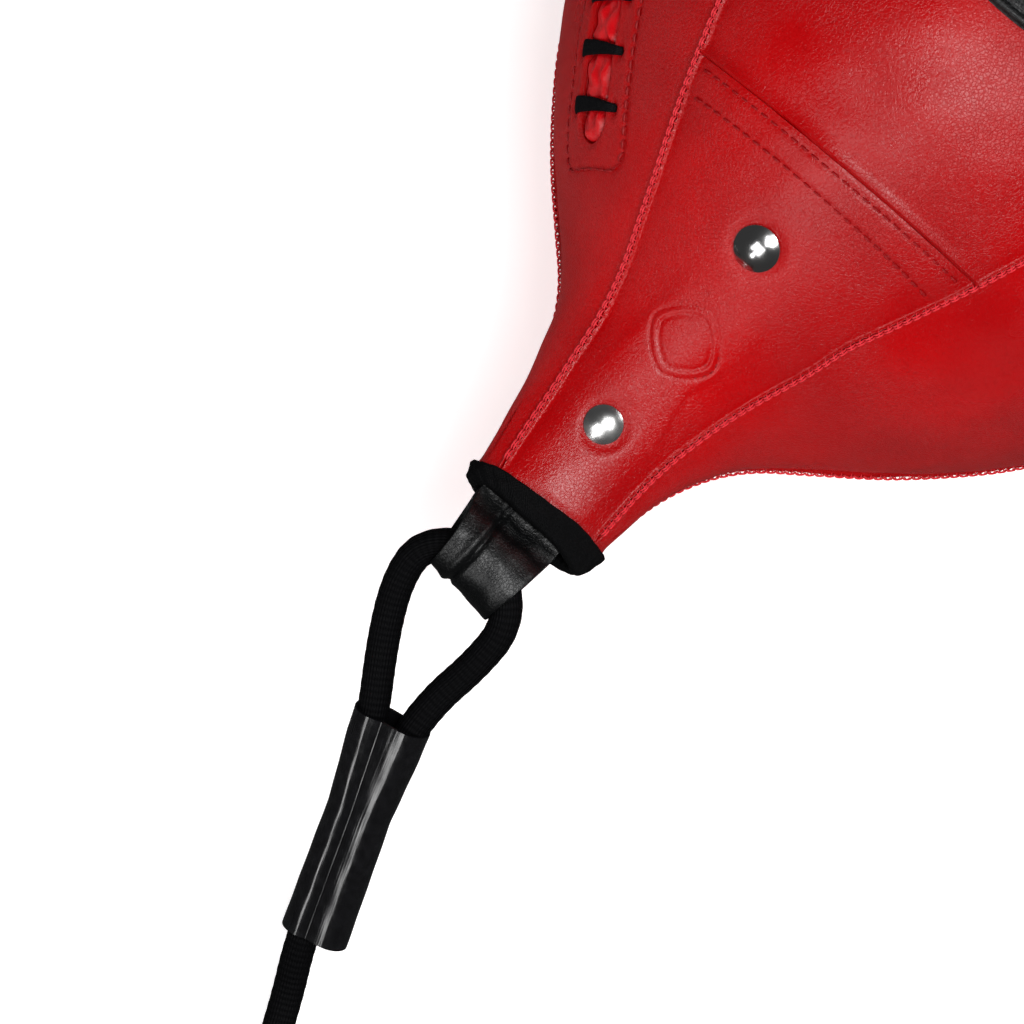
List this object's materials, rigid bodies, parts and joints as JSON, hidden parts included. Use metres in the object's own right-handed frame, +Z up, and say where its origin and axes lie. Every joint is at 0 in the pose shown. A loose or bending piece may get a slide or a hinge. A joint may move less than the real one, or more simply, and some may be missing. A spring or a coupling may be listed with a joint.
{
  "type": "double-end striking ball",
  "caption": "Laced leather double-end ball with tapered necks, strap tabs and an elastic cord with a crimped loop and snap hook.",
  "frame": {"origin": "on the floor under the ball's middle, halfway between the two tabs", "axes": "+X along the ball's long axis away from the neck that carries the cord, +Z up"},
  "size_m": [0.6113, 0.271, 0.2015],
  "materials": {
    "red_leather": "semi-gloss grained, fine creases",
    "black_leather": "satin pebbled",
    "binding_tape": "matte folded tape",
    "lace_cord": "matte flat woven lace",
    "braided_cord": "matte braided sheath over elastic",
    "sleeve_plastic": "glossy shrunk sleeve",
    "bladder_rubber": "matte",
    "rivet_chrome": "polished dome",
    "washer_steel": "satin",
    "hook_steel": "plated, lightly worn"
  },
  "bodies": {
    "root": {"front_neck_panel_near": "red_leather", "front_neck_panel_far": "red_leather", "front_middle_panel": "red_leather", "laced_side_panel": "red_leather", "lower_left_panel": "red_leather", "lower_right_panel": "red_leather", "right_side_panel": "red_leather", "lacing_reinforcement": "red_leather", "lacing_tongue": "red_leather", "lace": "lace_cord", "front_patch": "black_leather", "neck_binding_near": "binding_tape", "neck_binding_far": "binding_tape", "bladder": "bladder_rubber", "bladder_valve": "bladder_rubber", "strap_tab_near": "black_leather", "strap_tab_far": "black_leather", "small_rivets": "rivet_chrome", "large_rivets": "rivet_chrome", "small_rivet_washers": "washer_steel", "large_rivet_washers": "washer_steel", "cord_free": "braided_cord", "cord_coil": "braided_cord", "cord_end_run": "braided_cord", "cord_loop_far": "braided_cord", "sleeve_far": "sleeve_plastic"},
    "near_loop": {"cord_loop_near": "braided_cord", "sleeve_near": "sleeve_plastic"},
    "swivel": {"swivel_eye": "hook_steel"},
    "hook": {"hook_body": "hook_steel", "gate_pin": "washer_steel"},
    "gate": {"hook_gate": "hook_steel"}
  },
  "joints": [
    {"name": "near_loop_swing", "type": "hinge", "parent": "root", "child": "near_loop", "pos_m": [-0.184, -0.0035, 0.1017], "axis": [0, 1, 0], "range_deg": [0, 45]},
    {"name": "hook_swing", "type": "hinge", "parent": "root", "child": "swivel", "pos_m": [-0.28606, 0.11577, 0.0099], "axis": [0.766, -0.6428, 0], "range_deg": [0, 50]},
    {"name": "hook_swivel", "type": "hinge", "parent": "swivel", "child": "hook", "pos_m": [-0.28535, 0.11661, 0.0111], "axis": [0.6387, 0.7611, -0.1132], "continuous": true},
    {"name": "gate_open", "type": "hinge", "parent": "hook", "child": "gate", "pos_m": [-0.25738, 0.13594, 0.00736], "axis": [0.0728, 0.0867, 0.9936], "range_deg": [0, 28], "stiffness_Nm_per_rad": 0.02, "springref_deg": -20.05}
  ]
}
